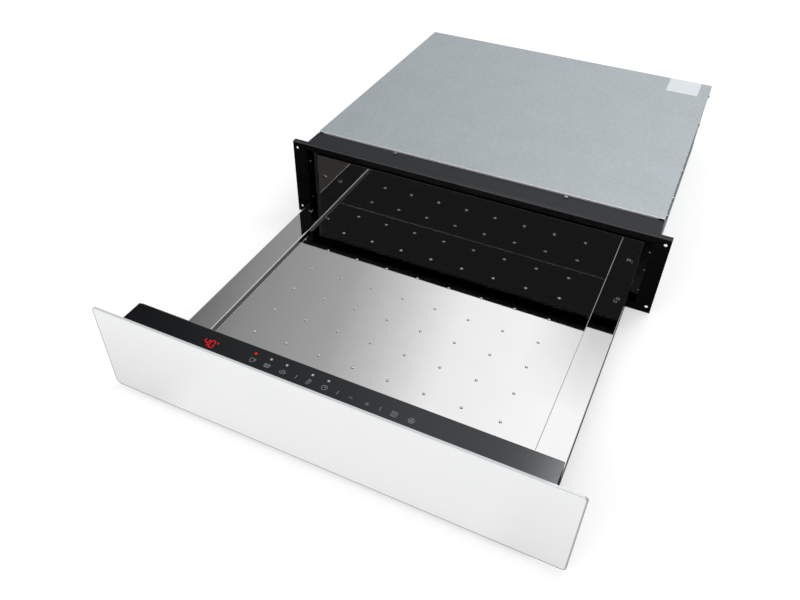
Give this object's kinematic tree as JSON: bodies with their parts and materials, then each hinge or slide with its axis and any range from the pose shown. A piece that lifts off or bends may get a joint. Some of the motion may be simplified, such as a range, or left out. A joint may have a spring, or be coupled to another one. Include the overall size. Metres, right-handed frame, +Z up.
{
  "type": "built-in warming drawer",
  "caption": "Handleless built-in warming drawer with a glass front, recessed polished well, touch control strip and push-to-open latch, standing open.",
  "frame": {"origin": "centre of the footprint of the open drawer and its casing, on the plane it stands on", "axes": "+X to the right seen from the front, +Y from the glass front to the rear panel, +Z up"},
  "size_m": [0.595, 0.991, 0.134],
  "materials": {
    "zinc_sheet": "hot-dip zinc, fine spangle",
    "black_paint": "satin black paint",
    "polished_steel": "mirror-polished stainless steel",
    "plain_steel": "bright zinc-plated steel",
    "bright_steel": "nickel-plated steel",
    "white_glass": "white back-painted glass, polished edge",
    "black_glass": "black glossy glass with white fields",
    "black_plastic": "moulded black plastic",
    "circuit_board": "green solder resist",
    "copper_winding": "enamelled copper",
    "heater_sheath": "annealed steel sheath",
    "label_film": "plain white film"
  },
  "bodies": {
    "casing": {"base_pan": "zinc_sheet", "side_panel_left": "zinc_sheet", "side_panel_right": "zinc_sheet", "rear_panel": "zinc_sheet", "top_cover": "zinc_sheet", "front_collar": "black_paint", "cover_screws": "bright_steel", "front_flange": "black_paint", "flange_screws": "bright_steel", "liner_right": "zinc_sheet", "liner_left": "zinc_sheet", "liner_ceiling": "zinc_sheet", "air_baffle": "zinc_sheet", "runner_support_left": "zinc_sheet", "runner_support_right": "zinc_sheet", "rail_cabinet_left": "plain_steel", "rail_cabinet_right": "plain_steel", "latch_body": "black_plastic", "latch_spring": "bright_steel", "motor_stator": "plain_steel", "motor_coil": "copper_winding", "motor_bracket": "zinc_sheet", "motor_end_cap": "zinc_sheet", "heating_element": "heater_sheath", "heater_clips": "plain_steel", "thermal_cutout": "black_plastic", "power_board": "circuit_board", "board_components": "black_plastic", "cable_gland": "black_plastic", "blank_label": "label_film"},
    "drawer": {"front_glass": "white_glass", "front_carrier": "black_paint", "control_box": "black_plastic", "control_panel": "black_glass", "control_board": "circuit_board", "display_module": "black_plastic", "front_wall": "polished_steel", "rear_wall": "polished_steel", "floor_pan": "polished_steel", "side_ledge_left": "polished_steel", "side_ledge_right": "polished_steel", "rear_gussets": "plain_steel", "drawer_screws": "bright_steel", "floor_braces": "plain_steel", "striker": "plain_steel", "rail_drawer_left": "plain_steel", "rail_drawer_right": "plain_steel"},
    "left_middle_rail": {"rail_middle_left": "plain_steel"},
    "right_middle_rail": {"rail_middle_right": "plain_steel"},
    "left_outer_cage": {"cage_outer_left": "plain_steel", "balls_outer_left": "bright_steel"},
    "right_outer_cage": {"cage_outer_right": "plain_steel", "balls_outer_right": "bright_steel"},
    "left_inner_cage": {"cage_inner_left": "plain_steel", "balls_inner_left": "bright_steel"},
    "right_inner_cage": {"cage_inner_right": "plain_steel", "balls_inner_right": "bright_steel"},
    "latch_pin": {"latch_plunger": "black_plastic"},
    "fan": {"fan_wheel": "plain_steel", "motor_rotor": "bright_steel"}
  },
  "joints": [
    {"name": "drawer_slide", "type": "slide", "parent": "casing", "child": "drawer", "axis": [0, 1, 0], "range_m": [0, 0.439]},
    {"name": "left_middle_rail_slide", "type": "slide", "parent": "casing", "child": "left_middle_rail", "axis": [0, 1, 0], "range_m": [0, 0.2195]},
    {"name": "left_outer_cage_slide", "type": "slide", "parent": "casing", "child": "left_outer_cage", "axis": [0, 1, 0], "range_m": [0, 0.10975]},
    {"name": "left_inner_cage_slide", "type": "slide", "parent": "casing", "child": "left_inner_cage", "axis": [0, 1, 0], "range_m": [0, 0.32925]},
    {"name": "right_middle_rail_slide", "type": "slide", "parent": "casing", "child": "right_middle_rail", "axis": [0, 1, 0], "range_m": [0, 0.2195]},
    {"name": "right_outer_cage_slide", "type": "slide", "parent": "casing", "child": "right_outer_cage", "axis": [0, 1, 0], "range_m": [0, 0.10975]},
    {"name": "right_inner_cage_slide", "type": "slide", "parent": "casing", "child": "right_inner_cage", "axis": [0, 1, 0], "range_m": [0, 0.32925]},
    {"name": "latch_press", "type": "slide", "parent": "casing", "child": "latch_pin", "axis": [0, 1, 0], "range_m": [0, 0.008], "stiffness_N_per_m": 600, "springref_m": -0.004, "deforming": ["latch_spring"]},
    {"name": "fan_spin", "type": "hinge", "parent": "casing", "child": "fan", "pos_m": [0, 0.4245, 0.07392], "axis": [0, 1, 0], "continuous": true}
  ],
  "couplings": [
    {"joint": "left_middle_rail_slide", "follows": "drawer_slide", "ratio": 0.5},
    {"joint": "left_outer_cage_slide", "follows": "drawer_slide", "ratio": 0.25},
    {"joint": "left_inner_cage_slide", "follows": "drawer_slide", "ratio": 0.75},
    {"joint": "right_middle_rail_slide", "follows": "drawer_slide", "ratio": 0.5},
    {"joint": "right_outer_cage_slide", "follows": "drawer_slide", "ratio": 0.25},
    {"joint": "right_inner_cage_slide", "follows": "drawer_slide", "ratio": 0.75}
  ]
}
